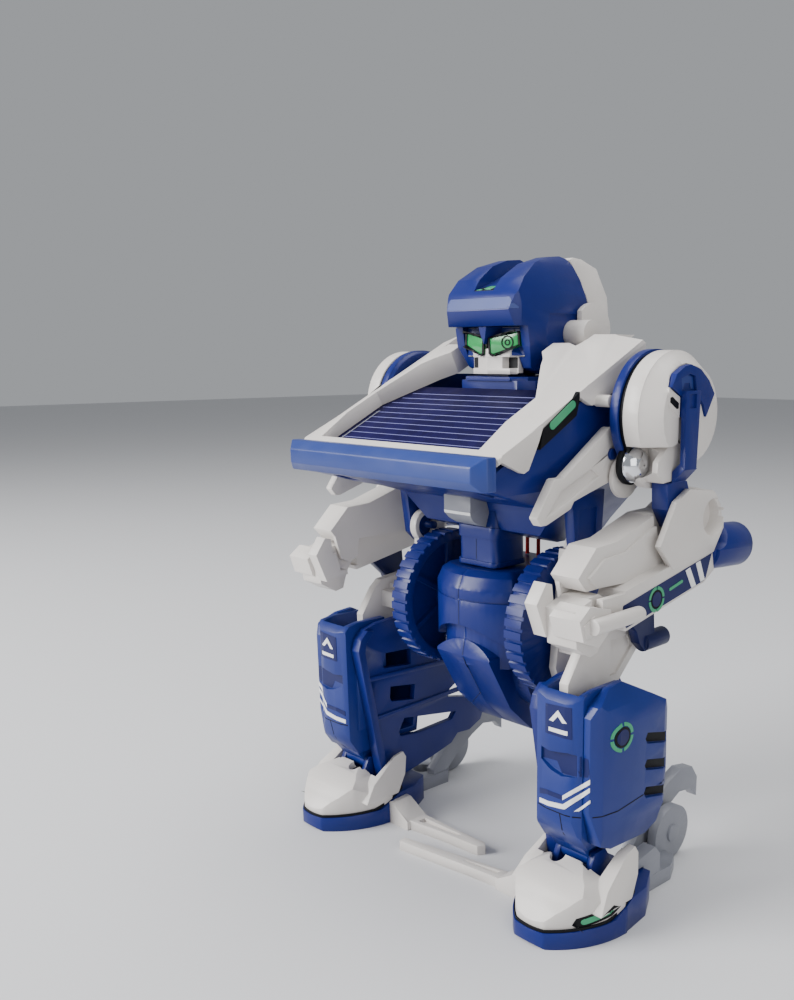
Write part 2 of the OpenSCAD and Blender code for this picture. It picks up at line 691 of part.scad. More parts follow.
module hand_form() {
    difference() {
        union() {
            // palm and knuckles
            along_x(45.2, 54.3) polygon([
                [-42.6, 77], [-43.6, 86], [-37.4, 88], [-33, 88.4], [-30.4, 86.8], [-30.4, 83.4],
                [-33, 79.4], [-34.6, 74.6], [-37.4, 74]]);
            // upright thumb
            along_x(41.4, 45.3) polygon([
                [-43.2, 78.4], [-46.6, 86.8], [-43.2, 91.6], [-41.2, 91], [-40.6, 86.6], [-36.2, 86],
                [-35.4, 79.6]]);
            // finger block
            along_x(48, 57.2) polygon([
                [-43.6, 79.4], [-45.2, 84.6], [-41.4, 87.4], [-33.6, 85.6], [-33.4, 80.6], [-38, 77]]);
            // long finger
            rod_y(-42, -24.6, 58.6, 83, 1.9);
            translate([58.6, -24.6, 83]) sphere(1.9);
            along_x(55.5, 57.6) polygon([[-43, 80], [-44, 83.4], [-40, 85.2], [-37.4, 84.4], [-37.4, 80]]);
        }
        rod_x(43, 56, wrist_c, 1.5 + run);
        along_x(53, 56.6) polygon([[-37.3, 90], [-37.3, 81], [-30, 81], [-26, 90]]);
        along_x(40, 45.1) polygon([[-39.4, 92], [-39.4, 86], [-38, 81], [-26, 81], [-26, 92]]);
    }
}
module spike_form() {
    difference() {
        along_x(38.6, 41.3) polygon([
            [-42.2, 106.2], [-40.6, 104.2], [-38.6, 104.2], [-29.6, 107.2], [-28.4, 109], [-14.4, 112.6],
            [-9.4, 117.4], [-9.6, 123], [-12.2, 126], [-15, 126.2], [-32.4, 115], [-35.8, 115]]);
        rod_x(38, 42, spike_c, 1.4 + run);
        along_x(40.6, 42) polygon([[-38.4, 106.4], [-30, 109.6], [-19, 114.4], [-22, 116.2], [-33, 111.8]]);
    }
}

// ---------- legs: left leg, mirrored for the right ----------
module leg_link_form(off, lead) {
    pin = [hip_c[0] + off, hip_c[1]];
    win = [guide_c[0] + off, guide_c[1]];
    difference() {
        union() {
            // inner upright
            along_x(27.5, 30) polygon([
                [-18, 94], [-21.7, 62], [-20, 57.4], [-12, 57.4], [-8.4, 61], [-8.4, 94]]);
            rod_x(27.5, 30, win, 5);
            rod_x(27.5, 30, pin, 4.6);
            // bridge over the wheel and the leg
            box(29.9, 44.1, -20.6, -11.6, 66.6, 71.6);
            along_x(29.9, 44.1) polygon([[-17.6, 71.5], [-16.4, 71.5], [-16.4, 73.4], [-17.6, 73.4]]);
            // outer plate
            along_x(44, 46.8) polygon([
                [-28.6 + lead, 75], [-31.4 + lead, 72.6], [-36.6 + lead, 65], [-36.6 + lead, 61],
                [-34.2 + 0.6 * lead, 60.4], [-29.4, 62], [-29.6, 57], [-20.4, 57], [-17, 60.6], [-7, 70], [-8, 74], [-12, 76]]);
            rod_x(43.4, 47.4, knee_c, 4.6);
        }
        rod_x(27, 31, win, crank_throw + 1.2 + 0.35);
        rod_x(27, 30.8, pin, crank_pin_r + run);
        rod_x(40, 50, knee_c, leg_pin_r + run);
        along_x(46, 48) polygon([[-20, 73], [-13, 73], [-10.6, 69.6], [-17.4, 63.4], [-20, 63.4]]);
        along_x(29.2, 31) polygon([[-16, 86], [-17.6, 79], [-11, 79], [-11, 86]]);
    }
}
module leg_fin_form() {
    difference() {
        along_x(36.3, 36.3 + fin_t) polygon([
            [-37.6, 56.6], [-36.6, 60], [-34, 62.6], [-29, 63.8], [-21, 64.2], [-6, 60], [2, 46], [8.6, 33],
            [16.6, 24], [15, 20.4], [9.6, 18], [4, 18.4], [1, 15.6], [-8, 13.4], [-24, 10.4], [-27.4, 9.8],
            [-30, 12.4]]);
        along_x(30, 40) polygon([[-27.4, 50], [-26.4, 53.6], [-16, 53], [-16, 47.6], [-27, 48.8]]);
        along_x(30, 40) polygon([[-25, 38.6], [-24.6, 42.2], [-14.6, 40.6], [-15.2, 35.6], [-24.4, 37.2]]);
        along_x(30, 40) polygon([[-21.8, 26], [-19.4, 30.2], [3.4, 26.4], [1.4, 24], [-13.4, 23.4], [-21, 24.4]]);
        along_x(30, 40) polygon([[-0.4, 34.4], [3.2, 36.4], [12, 33], [12, 29.6], [0, 32.4]]);
    }
    // thicker front edge and ribs
    along_x(34.9, 36.4) polygon([
        [-37.6, 56.6], [-36.6, 60], [-34, 62.6], [-31.4, 62], [-34.4, 58.6], [-35, 55.6], [-27.6, 13.6],
        [-27.4, 9.8], [-30, 12.4]]);
    along_x(35.5, 36.4) polygon([[-33, 47.4], [-33.2, 46], [1.4, 44.4], [2, 46]]);
    along_x(35.5, 36.4) polygon([[-31, 34], [-31.2, 32.6], [6.4, 33.6], [5.6, 35]]);
}
module leg_front_form() {
    difference() {
        union() {
            intersection() {
                along_x(39, 53.2) polygon([
                    [-37.8, 63.8], [-40.2, 61.6], [-40.4, 33.4], [-39, 27], [-36, 22.4], [-31.4, 22.4],
                    [-31.4, 27], [-24, 27], [-24, 64.4], [-34, 64.4]]);
                along_z(15, 70) polygon([
                    [39, -20], [39, -39.2], [41.4, -39.8], [46, -40.9], [51, -39.8], [53.2, -38.4], [53.2, -20]]);
            }
            along_x(40.6, 51.4) polygon([[-35, 28], [-35.4, 22], [-33, 18.8], [-33, 28]]);
        }
        // hollow for the link
        along_x(41.2, 51.4) polygon([[-34.6, 80], [-37.6, 66], [-38.6, 60], [-38.6, 52], [-35, 30], [-20, 30],
            [-20, 80]]);
        // window in the front
        along_y(-45, -39) polygon([[40.8, 48.5], [44.4, 48.3], [49.7, 49.1], [53.3, 48.7], [53.3, 43.2],
            [48, 42.6], [44.7, 43.3], [40.8, 45.1]]);
    }
    rod_x(41, 51.6, knee_c, leg_pin_r);
    rod_x(38.5, 43.2, knee_c, 3.2);
    rod_x(47.6, 52, knee_c, 3.2);
    box(36.3 + fin_t, 39.2, -36, -25, 30, 58);
    // ankle barrel
    difference() {
        union() {
            rod_x(41.6, 50.4, ankle_c, 2.9);
            along_x(41.6, 50.4) polygon([
                [-31.6, 23], [-32.2, 18.4], [-29.5, 17.6], [-26.8, 18.4], [-27.4, 27.4], [-31.6, 27.4]]);
        }
        rod_x(41, 51, ankle_c, leg_pin_r + run);
    }
}
module leg_cover_form() {
    difference() {
        intersection() {
            along_x(50, 58.8) polygon([
                [-38.2, 58.6], [-36.8, 61.4], [-31, 64.6], [-25.4, 65.2], [-10.8, 57.6], [-9.2, 54.8],
                [-8.4, 37.6], [-9.6, 30.6], [-11.6, 23.2], [-16, 21.2], [-31, 22.4], [-35.6, 24.6], [-38.2, 34]]);
            along_z(15, 70) polygon([
                [53.3, -4], [53.3, -38.3], [55.2, -38.3], [57.4, -35.6], [58.8, -31], [58.8, -12], [57.2, -8.2],
                [53.3, -7.6]]);
            along_y(-45, 0) polygon([
                [53, 15], [53, 65.4], [54.6, 65.4], [57.8, 60.4], [58.8, 55.4], [58.8, 31], [57.6, 27], [56.4, 20],
                [56.4, 15]]);
        }
        // three notches at the rear edge
        for (z = [50.9, 43.6, 36]) along_x(57.4, 60) polygon([
            [-19.3, z], [-6, z - 3.4], [-6, z - 6.4], [-19.3, z - 3], [-20.2, z - 1.5]]);
        // inside
        along_x(53, 55.2) polygon([[-36, 57], [-30, 62.6], [-25, 63], [-13, 56], [-10.6, 54], [-10, 38], [-12, 25],
            [-33.6, 25], [-36, 34]]);
        along_x(55.1, 56.4) polygon([[-34, 56], [-29, 60], [-24, 60], [-13.4, 54.6], [-12, 38], [-13.6, 27],
            [-32, 27], [-34, 35]]);
    }
    // rear wall that closes the leg
    difference() {
        along_x(39, 53.4) polygon([[-23.9, 58.8], [-14, 57], [-11, 52], [-10, 38], [-12, 23.4], [-23.9, 23.4],
            [-23.9, 25.4], [-13.6, 25.4], [-11.9, 38], [-12.8, 51], [-15.2, 55.2], [-23.9, 57]]);
        box(42.4, 49, -26, -15.5, 52, 62);
        rod_x(38, 54, knee_c, 3.4);
    }
}
module foot_plan(d) {
    intersection() {
        translate([10.7, -28.6]) circle(26.4 - d);
        translate([-10.7, -28.6]) circle(26.4 - d);
        translate([0, -33.4]) circle(17.2 - d);
        translate([-20, -60]) square([40, 30.4]);
    }
    polygon([[-15.5 + d, -30.4], [15.5 - d, -30.4], [14.4 - d, -20], [10.2 - d, -12.4], [-10.2 + d, -12.4],
        [-14.4 + d, -20]]);
}
module foot_sole_form() {
    translate([leg_x, 0, 0]) {
        difference() {
            union() {
                intersection() {
                    along_z(0, 8.6) foot_plan(0);
                    along_x(-20, 20) polygon([[-50.8, 0.8], [-49.6, 0], [-10, 0], [-10, 8.4], [-27, 8.4], [-34, 5.2],
                        [-50.8, 4.4]]);
                }
                both() along_x(4.6, 6.4) polygon([[-34.2, 7], [-33.6, 15], [-31.6, 19.6], [-27.4, 19.6], [-24.6, 15],
                    [-23, 7]]);
            }
            along_z(1.8, 7) intersection() {
                foot_plan(1.8);
                translate([-20, -60]) square([40, 45.8]);
            }
        }
        rod_x(-6, 6, ankle_c, leg_pin_r);
        // ankle posts' webs
        both() box(4.6, 6.4, -33.2, -24.4, 1.6, 7.2);
    }
}
module foot_cover_form() {
    translate([leg_x, 0, 0]) difference() {
        union() {
            intersection() {
                along_z(4, 22) foot_plan(0.7);
                along_x(-20, 20) polygon([[-50.2, 4.9], [-49.9, 6.6], [-47.6, 9.4], [-43.4, 12.8], [-38, 15.9],
                    [-33.4, 17.8], [-31.4, 18.2], [-27.4, 17.6], [-26.8, 8.6], [-34.2, 5.5]]);
                along_y(-60, 0) polygon([[-15.4, 3], [-15.2, 7.6], [-13.2, 11.6], [-9.4, 15], [-5, 17.2],
                    [0, 18.3], [5, 17.2], [9.4, 15], [13.2, 11.6], [15.2, 7.6], [15.4, 3]]);
            }
            // swept wings beside the ankle
            both() intersection() {
                along_x(9.6, 15.2) polygon([[-40, 8.6], [-36, 13.6], [-26, 19.8], [-22.6, 20.4], [-21.8, 18.6],
                    [-23.4, 13.6], [-27.4, 8.6]]);
                along_y(-60, 0) polygon([[8, 17], [10.4, 20.6], [12.4, 20.4], [15.2, 9], [15.2, 8.6], [8, 8.6]]);
            }
        }
        // hollow and seat of the ankle
        intersection() {
            along_z(3, 19) foot_plan(2.6);
            along_x(-20, 20) polygon([[-47.6, 3], [-47.4, 6.6], [-43, 10.8], [-37, 14], [-32, 16], [-20, 16],
                [-20, 3]]);
            along_y(-60, 0) polygon([[-13.2, 3], [-13, 7], [-11, 10.6], [-8, 13.2], [-4, 15.2], [0, 16], [4, 15.2],
                [8, 13.2], [11, 10.6], [13, 7], [13.2, 3]]);
        }
        rod_x(-9.4, 9.4, [ankle_c[0] + 0.4, ankle_c[1] + 0.4], 5);
        box(-9.4, 9.4, -30, -18, 8, 30);
        // clearance for the posts and for the fin
        both() box(4.3, 6.7, -34.8, -22, 3, 20);
        box(34.3 - leg_x, 39.2 - leg_x, -33.5, -18, 7.4, 30);
        // semicircular notch
        translate([-3.4, -35, 10]) cylinder(h = 12, r = 2.1);
    }
}
module outrigger_form(front) {
    // flat bar that reaches under the other half of the robot
    difference() {
        outrigger_bar(front);
        translate([leg_x, 0, -1]) along_z(0, 12) foot_plan(0);
    }
}
module outrigger_bar(front) {
    difference() {
        along_z(0, 3) polygon(front ?
            [[34, -30.6], [34, -37.6], [22, -36.6], [12, -37.6], [-14.4, -41], [-15, -38.6], [8, -34.4], [22, -32]] :
            [[34, -23.6], [34, -31.6], [22, -30.4], [10, -28.8], [-5, -27.6], [-6.4, -25.6], [-5, -24.4], [10, -24.6],
                [24, -24]]);
        along_z(2, 4) polygon(front ?
            [[20, -33.4], [20, -35], [8, -36], [8, -35.6]] : [[20, -26], [20, -28.6], [4, -27], [4, -25.8]]);
    }
    intersection() {
        box(22, 34, front ? -37.4 : -31.4, front ? -30.6 : -23.8, 0, 9);
        along_y(-60, 0) polygon([[34, 0], [34, 7], [29, 7], [22, 2.9], [22, 0]]);
    }
}
module heel_bracket_form() {
    difference() {
        along_z(0, 4.4) polygon([
            [40, -12.4], [54, -12.4], [54.6, 0], [52, 5.4], [44, 6.6], [39.4, 2]]);
        translate([47, -3, -1]) cylinder(h = 8, r = 3.2);
    }
    along_x(50, 54) polygon([[-12.3, 2], [-12.3, 8.9], [-16.6, 8.9], [-15.6, 11.4], [-7, 12.6], [-4.6, 9.6], [-4.6, 2]]);
    // upright heel pad
    difference() {
        union() {
            rod_x(45.4, 48.2, [9.6, 8.6], 8.2);
            rod_x(44.6, 49, [9.6, 8.6], 2.6);
        }
        box(40, 54, 0, 20, -9, 0);
    }
    // rear hook
    along_x(40, 43.4) polygon([
        [-4, 4.3], [2, 4.3], [8, 9.6], [14.4, 13.8], [20, 16.4], [26.4, 15.4], [29.4, 12], [29.4, 18.4],
        [26.4, 22.6], [20.4, 23.8], [13.6, 21.2], [4, 14.6], [-4, 6]]);
    box(43.3, 47, 4, 6, 1, 7);
    box(40, 43.4, -4, 2, 4, 6);
}

module shoulder_rim_left() {
    color(blue) place() shoulder_rim_form();
}

module shoulder_shell_left() {
    color(white) place() shoulder_shell_form();
}

module shoulder_lamp_left() {
    color(grey) place() shoulder_lamp_form();
}

module upper_arm_left() {
    color(blue) place() upper_arm_form();
}

module forearm_left() {
    color(white) place() forearm_form();
}

module forearm_tail_left() {
    color(blue) place() forearm_tail_form();
}

module forearm_pipe_left() {
    color(navy) place() forearm_pipe_form();
}

module hand_left() {
    color(white) place() hand_form();
}

module spike_left() {
    color(white) place() spike_form();
}

module leg_link_left() {
    color(white) place() leg_link_form(crank_throw, 0);
}

module leg_fin_left() {
    color(blue) place() leg_fin_form();
}

module leg_front_left() {
    color(blue) place() leg_front_form();
}

module leg_cover_left() {
    color(blue) place() leg_cover_form();
}

module foot_sole_left() {
    color(blue) place() foot_sole_form();
}

module foot_cover_left() {
    color(white) place() foot_cover_form();
}

module outrigger_left() {
    color(white) place() outrigger_form(true);
}

module heel_bracket_left() {
    color(grey) place() heel_bracket_form();
}

module shoulder_rim_right() {
    color(blue) place() mirror([1, 0, 0]) shoulder_rim_form();
}

module shoulder_shell_right() {
    color(white) place() mirror([1, 0, 0]) shoulder_shell_form();
}

module shoulder_lamp_right() {
    color(grey) place() mirror([1, 0, 0]) shoulder_lamp_form();
}

module upper_arm_right() {
    color(blue) place() mirror([1, 0, 0]) upper_arm_form();
}

module forearm_right() {
    color(white) place() mirror([1, 0, 0]) forearm_form();
}

module forearm_tail_right() {
    color(blue) place() mirror([1, 0, 0]) forearm_tail_form();
}

module forearm_pipe_right() {
    color(navy) place() mirror([1, 0, 0]) forearm_pipe_form();
}

module hand_right() {
    color(white) place() mirror([1, 0, 0]) hand_form();
}

module spike_right() {
    color(white) place() mirror([1, 0, 0]) spike_form();
}

module leg_link_right() {
    color(white) place() mirror([1, 0, 0]) leg_link_form(-crank_throw, 8);
}

module leg_fin_right() {
    color(blue) place() mirror([1, 0, 0]) leg_fin_form();
}

module leg_front_right() {
    color(blue) place() mirror([1, 0, 0]) leg_front_form();
}

module leg_cover_right() {
    color(blue) place() mirror([1, 0, 0]) leg_cover_form();
}

module foot_sole_right() {
    color(blue) place() mirror([1, 0, 0]) foot_sole_form();
}

module foot_cover_right() {
    color(white) place() mirror([1, 0, 0]) foot_cover_form();
}

module outrigger_right() {
    color(white) place() mirror([1, 0, 0]) outrigger_form(false);
}

module heel_bracket_right() {
    color(grey) place() mirror([1, 0, 0]) heel_bracket_form();
}

gearbox_left();
gearbox_right();
waist_column();
waist_latch();
motor_can();
motor_pinion();
gear_a();
gear_b();
gear_pins();
crank_shaft();
wheel_left();
wheel_right();
case_screws();
chest_tray();
front_bar();
chest_frame();
solar_panel();
chest_back();
collar();
struts();
lead_wires();
helmet();
face_plate();
eye_lenses();
head_crest();
shoulder_rim_left();
shoulder_shell_left();
shoulder_lamp_left();
upper_arm_left();
forearm_left();
forearm_tail_left();
forearm_pipe_left();
hand_left();
spike_left();
leg_link_left();
leg_fin_left();
leg_front_left();
leg_cover_left();
foot_sole_left();
foot_cover_left();
outrigger_left();
heel_bracket_left();
shoulder_rim_right();
shoulder_shell_right();
shoulder_lamp_right();
upper_arm_right();
forearm_right();
forearm_tail_right();
forearm_pipe_right();
hand_right();
spike_right();
leg_link_right();
leg_fin_right();
leg_front_right();
leg_cover_right();
foot_sole_right();
foot_cover_right();
outrigger_right();
heel_bracket_right();
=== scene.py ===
"""Looks of the solar robot: plastics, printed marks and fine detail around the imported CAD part."""
import bpy
import bmesh
import json
import math
from mathutils import Matrix, Vector
from mathutils.bvhtree import BVHTree


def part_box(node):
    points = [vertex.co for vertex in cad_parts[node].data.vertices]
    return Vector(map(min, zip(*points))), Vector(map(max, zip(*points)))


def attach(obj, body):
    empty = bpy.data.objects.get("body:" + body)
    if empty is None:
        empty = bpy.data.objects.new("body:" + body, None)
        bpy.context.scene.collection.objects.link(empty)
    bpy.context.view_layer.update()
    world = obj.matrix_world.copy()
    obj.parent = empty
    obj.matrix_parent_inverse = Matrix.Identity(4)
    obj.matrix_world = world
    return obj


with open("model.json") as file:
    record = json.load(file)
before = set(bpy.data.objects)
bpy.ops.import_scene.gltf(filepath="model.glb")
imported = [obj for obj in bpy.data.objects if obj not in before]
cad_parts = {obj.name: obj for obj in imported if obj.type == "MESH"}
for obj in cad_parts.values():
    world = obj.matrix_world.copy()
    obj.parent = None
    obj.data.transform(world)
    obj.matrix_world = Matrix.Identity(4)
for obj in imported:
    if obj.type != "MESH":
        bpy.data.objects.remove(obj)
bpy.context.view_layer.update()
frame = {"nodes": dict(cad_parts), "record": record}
NODES = frame["nodes"]
SLOTS = {s["node"]: s["material_slot"] for s in frame["record"]["subparts"]}
MM = 0.001
SHIFT = 14.2   # the part's Y offset from its drawing frame, mm
SINK = 0.15    # how deep a mark is let into its surface, mm


# ---------- materials ----------
def srgb(r, g, b, a=1.0):
    def lin(c):
        c /= 255
        return c / 12.92 if c <= 0.04045 else ((c + 0.055) / 1.055) ** 2.4
    return (lin(r), lin(g), lin(b), a)


def noise(tree, coord, scale, detail=2.0):
    n = tree.nodes.new("ShaderNodeTexNoise")
    n.inputs["Scale"].default_value = scale
    n.inputs["Detail"].default_value = detail
    tree.links.new(coord.outputs["Object"], n.inputs["Vector"])
    return n.outputs["Fac"]


def ramp(tree, value, lo, hi, lo_at=0.3, hi_at=0.7):
    """Maps a noise value onto a number between lo and hi."""
    n = tree.nodes.new("ShaderNodeMapRange")
    n.inputs["From Min"].default_value = lo_at
    n.inputs["From Max"].default_value = hi_at
    n.inputs["To Min"].default_value = lo
    n.inputs["To Max"].default_value = hi
    tree.links.new(value, n.inputs["Value"])
    return n.outputs["Result"]


def blend(tree, fac, a, b):
    n = tree.nodes.new("ShaderNodeMix")
    n.data_type = "RGBA"
    tree.links.new(fac, n.inputs["Factor"])
    for socket, value in ((n.inputs["A"], a), (n.inputs["B"], b)):
        if isinstance(value, tuple):
            socket.default_value = value
        else:
            tree.links.new(value, socket)
    return n.outputs["Result"]


def scaled(color, k):
    return tuple(min(c * k, 1.0) for c in color[:3]) + (1.0,)


def plastic(name, color, rough=0.35, coat=0.0, metal=0.0, grain=0.12, mottle=0.07, spec=0.5):
    """Moulded plastic: faint flow marks in the colour, uneven gloss and a fine grain."""
    mat = bpy.data.materials.new(name)
    mat.use_nodes = True
    tree = mat.node_tree
    shader = tree.nodes["Principled BSDF"]
    shader.inputs["Metallic"].default_value = metal
    shader.inputs["Specular IOR Level"].default_value = spec
    shader.inputs["Coat Weight"].default_value = coat
    shader.inputs["Coat Roughness"].default_value = 0.15
    coord = tree.nodes.new("ShaderNodeTexCoord")
    flow = ramp(tree, noise(tree, coord, 55, 3), 0.0, 1.0)
    tree.links.new(blend(tree, flow, scaled(color, 1 - mottle), scaled(color, 1 + mottle)),
                   shader.inputs["Base Color"])
    tree.links.new(ramp(tree, noise(tree, coord, 170), rough - 0.05, rough + 0.06), shader.inputs["Roughness"])
    if grain > 0:
        bump = tree.nodes.new("ShaderNodeBump")
        bump.inputs["Strength"].default_value = grain
        bump.inputs["Distance"].default_value = 0.0001
        tree.links.new(noise(tree, coord, 1400, 3), bump.inputs["Height"])
        tree.links.new(bump.outputs["Normal"], shader.inputs["Normal"])
    return mat


def solar_film(name):
    """Dark cells: crystal patches of slightly different blues under a clear film."""
    mat = plastic(name, srgb(16, 14, 50), rough=0.45, grain=0, spec=0.06)
    tree = mat.node_tree
    shader = tree.nodes["Principled BSDF"]
    coord = tree.nodes.new("ShaderNodeTexCoord")
    cells = tree.nodes.new("ShaderNodeTexVoronoi")
    cells.inputs["Scale"].default_value = 420
    tree.links.new(coord.outputs["Object"], cells.inputs["Vector"])
    bw = tree.nodes.new("ShaderNodeRGBToBW")
    tree.links.new(cells.outputs["Color"], bw.inputs["Color"])
    patch = blend(tree, bw.outputs["Val"], srgb(8, 7, 34), srgb(18, 16, 60))
    cloud = ramp(tree, noise(tree, coord, 30, 1), 0.0, 0.55)
    tree.links.new(blend(tree, cloud, patch, srgb(34, 26, 80)), shader.inputs["Base Color"])
    return mat


BLUE = plastic("blue_plastic", srgb(9, 27, 102), rough=0.35, spec=0.35)
# Lighter copy of the blue plastic for the leg fronts and covers: a painted highlight where the light falls on
# the legs.
LIT_LEG_BLUE = plastic("leg_blue_painted_highlight", srgb(12, 36, 112), rough=0.37, spec=0.42)
LIGHT_BLUE = plastic("light_blue_plastic", srgb(36, 56, 122), rough=0.36, spec=0.42)
NAVY = plastic("navy_plastic", srgb(10, 20, 68), rough=0.38, spec=0.35)
WHITE = plastic("white_plastic", srgb(208, 203, 198), rough=0.38, mottle=0.025)
GREY = plastic("grey_plastic", srgb(132, 134, 142), rough=0.4, mottle=0.04)
# Black trim; the same material also paints the shadow under the nose.
BLACK = plastic("black_trim_and_shadow", srgb(6, 7, 12), rough=0.5, spec=0.2)
# Dark blue print; the same material also paints the shade in the leg recesses.
DEEP = plastic("deep_blue_print_and_shade", srgb(10, 20, 78), rough=0.4, spec=0.3)
STEEL = plastic("bright_steel", srgb(196, 198, 202), rough=0.22, metal=1.0, grain=0.04, mottle=0.03)
CHROME = plastic("reflector", srgb(226, 228, 232), rough=0.12, metal=1.0, grain=0, mottle=0.01)
NYLON = plastic("gear_nylon", srgb(222, 219, 202), rough=0.45, mottle=0.03)
GREEN = plastic("lens_green", srgb(34, 150, 78), rough=0.16, coat=0.6, grain=0)
MARK_GREEN = plastic("green_print", srgb(52, 150, 104), rough=0.3)
MARK_WHITE = plastic("white_print", srgb(232, 232, 232), rough=0.35, mottle=0.02)
FINE_LINE = plastic("cell_contact", srgb(118, 120, 176), rough=0.4, mottle=0.02)
CELL = solar_film("solar_cells")
WIRE = plastic("wire_sleeve", srgb(170, 20, 16), rough=0.5)

PAINT = {"blue": BLUE, "light_blue": LIGHT_BLUE, "navy": NAVY, "white": WHITE, "grey": GREY, "steel": STEEL,
         "gear_nylon": NYLON, "lens_green": GREEN, "solar_cell": CELL, "wire": WIRE}
# The leg fronts and covers take the lighter blue, a painted highlight on the legs.
OWN_PAINT = {"leg_front": LIT_LEG_BLUE, "leg_cover": LIT_LEG_BLUE, "shoulder_lamp": WHITE}


def dress(node, mat, bevel=0.35):
    """Gives a CAD node its plastic and soft moulded edges."""
    o = NODES[node]
    o.data.materials.clear()
    o.data.materials.append(mat)
    if bevel > 0:
        weld = o.modifiers.new("weld", "WELD")
        weld.merge_threshold = 0.00001
        b = o.modifiers.new("edges", "BEVEL")
        b.width = bevel * MM
        b.segments = 2
        b.limit_method = "ANGLE"
        b.angle_limit = math.radians(24)
        b.harden_normals = True
        b.use_clamp_overlap = True
    for p in o.data.polygons:
        p.use_smooth = True


for name in NODES:
    stem = name.rsplit("_", 1)[0]
    dress(name, OWN_PAINT.get(stem, PAINT[SLOTS[name]]))

# ---------- marks that follow a surface ----------
SKINS = {}


def skin(nodes):
    """Ray target made of the named nodes' meshes, in mm of the drawing frame."""
    if nodes not in SKINS:
        verts, faces = [], []
        for node in nodes:
            mesh = NODES[node].data
            base = len(verts)
            verts += [Vector((v.co.x / MM, v.co.y / MM - SHIFT, v.co.z / MM)) for v in mesh.vertices]
            faces += [[base + i for i in p.vertices] for p in mesh.polygons]
        SKINS[nodes] = BVHTree.FromPolygons(verts, faces)
    return SKINS[nodes]


# A view: (u, v) -> a point outside the object, and the way in
def from_front(side=1):
    return lambda u, v: (Vector((side * u, -90, v)), Vector((0, 1, 0)))


def from_outside(side=1):
    return lambda u, v: (Vector((side * 90, u, v)), Vector((-side, 0, 0)))


def from_top(side=1):
    return lambda u, v: (Vector((side * u, v, 200)), Vector((0, 0, -1)))


def finish_piece(bm, name, body, mat, smooth=False):
    bmesh.ops.remove_doubles(bm, verts=bm.verts, dist=1e-7)
    bmesh.ops.recalc_face_normals(bm, faces=bm.faces)
    mesh = bpy.data.meshes.new(name)
    bm.to_mesh(mesh)
    bm.free()
    mesh.materials.append(mat)
    for p in mesh.polygons:
        p.use_smooth = smooth
    o = bpy.data.objects.new(name, mesh)
    bpy.context.collection.objects.link(o)
    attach(o, body)
    return o


def mark(name, body, mat, outlines, nodes, view, thick=0.12, step=0.9):
    """Film or inlay that lies on the named nodes: each outline is cut on a grid and dropped on the skin."""
    target = skin(nodes)
    bm = bmesh.new()
    for outline in outlines:
        part = bmesh.new()
        part.faces.new([part.verts.new((u, v, 0)) for u, v in outline])
        bmesh.ops.triangulate(part, faces=part.faces[:])
        for axis in (0, 1):
            values = [p[axis] for p in outline]
            for i in range(1, int((max(values) - min(values)) / step) + 1):
                normal = Vector((1 - axis, axis, 0))
                bmesh.ops.bisect_plane(part, geom=part.verts[:] + part.edges[:] + part.faces[:], dist=1e-5,
                                       plane_co=normal * (min(values) + i * step), plane_no=normal)
        grown = bmesh.ops.extrude_face_region(part, geom=part.faces[:])
        for v in grown["geom"]:
            if isinstance(v, bmesh.types.BMVert):
                v.co.z = 1
        hits = {}
        for v in part.verts:
            at, way = view(v.co.x, v.co.y)
            spot, _, _, far = target.ray_cast(at, way)
            hits[v] = (at, way, far)
        known = sorted(h[2] for h in hits.values() if h[2] is not None)
        usual = known[len(known) // 2]
        for v, (at, way, far) in hits.items():
            far = usual if far is None or abs(far - usual) > 4 else far
            p = at + way * (far + (-thick if v.co.z > 0.5 else SINK))
            v.co = Vector((p.x, p.y + SHIFT, p.z)) * MM
        temp = bpy.data.meshes.new("part")
        part.to_mesh(temp)
        part.free()
        bm.from_mesh(temp)
        bpy.data.meshes.remove(temp)
    return finish_piece(bm, name, body, mat)


def arc(cu, cv, r, a0=0.0, a1=360.0, n=40, squash=1.0):
    return [(cu + r * math.cos(math.radians(a0 + (a1 - a0) * i / n)),
             cv + squash * r * math.sin(math.radians(a0 + (a1 - a0) * i / n))) for i in range(n + 1)]


def band(cu, cv, r0, r1, a0, a1, n=14, squash=1.0):
    """Outline of a ring's segment."""
    return arc(cu, cv, r1, a0, a1, n, squash) + arc(cu, cv, r0, a1, a0, n, squash)


def disc(cu, cv, r, squash=1.0, n=36):
    return arc(cu, cv, r, 0, 360 * (n - 1) / n, n - 1, squash)


def pill(a, b, r, n=8):
    """Outline of a bar with round ends from a to b."""
    turn = math.degrees(math.atan2(b[1] - a[1], b[0] - a[0]))
    return arc(b[0], b[1], r, turn - 90, turn + 90, n) + arc(a[0], a[1], r, turn + 90, turn + 270, n)


def stroke(a, b, w):
    """Outline of a straight bar of width w from a to b."""
    d = Vector((b[0] - a[0], b[1] - a[1])).normalized()
    s = Vector((-d.y, d.x)) * (w / 2)
    return [(a[0] + s.x, a[1] + s.y), (a[0] - s.x, a[1] - s.y),
            (b[0] - s.x, b[1] - s.y), (b[0] + s.x, b[1] + s.y)]


